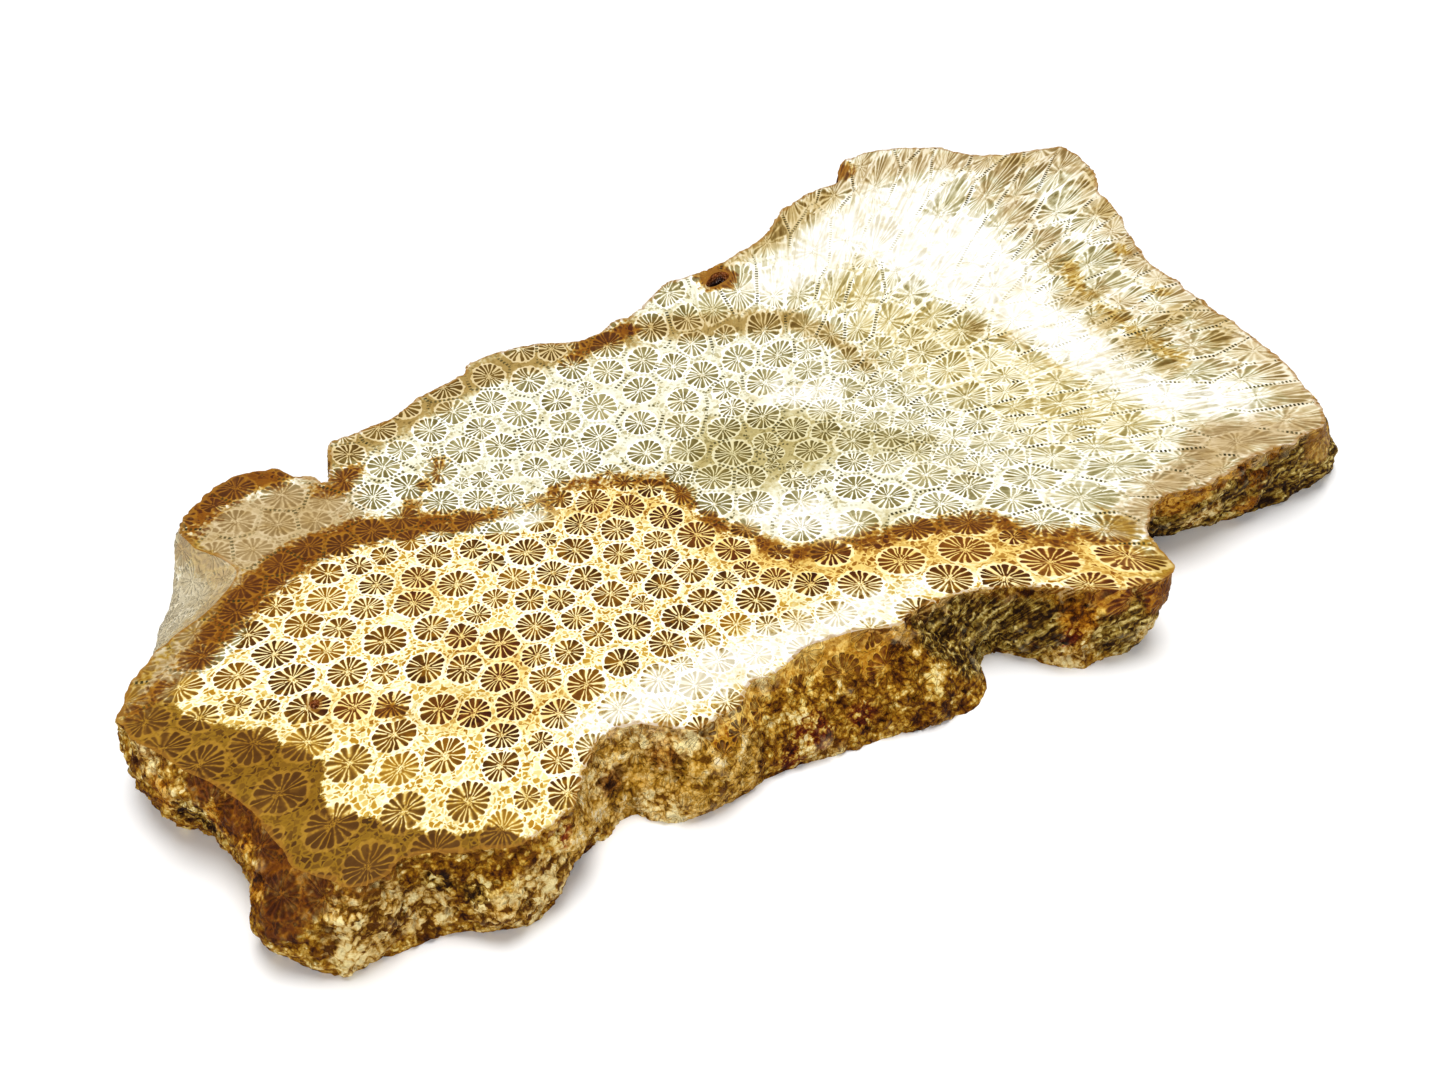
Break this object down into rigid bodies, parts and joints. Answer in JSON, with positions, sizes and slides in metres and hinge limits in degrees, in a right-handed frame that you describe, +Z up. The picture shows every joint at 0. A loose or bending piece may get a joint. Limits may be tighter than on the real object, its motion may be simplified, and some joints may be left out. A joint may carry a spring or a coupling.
{
  "type": "fossil coral slice",
  "caption": "Flat slab of fossil coral, sawn above and below, with a broken, weathered edge all round. It lies on its lower face.",
  "frame": {"origin": "under the middle of the slab's box, on the lower sawn face", "axes": "+X along the slab's longest way, towards the end where the coral tubes lie almost flat; +Y towards the long back edge; +Z up, square to the sawn faces"},
  "size_m": [0.192, 0.1034, 0.0135],
  "materials": {
    "coral_stone": "polished sawn faces, rough weathered edge; cream and white corallites with gold, brown and grey fillings"
  },
  "bodies": {
    "root": {"coral_slab": "coral_stone"}
  },
  "joints": []
}
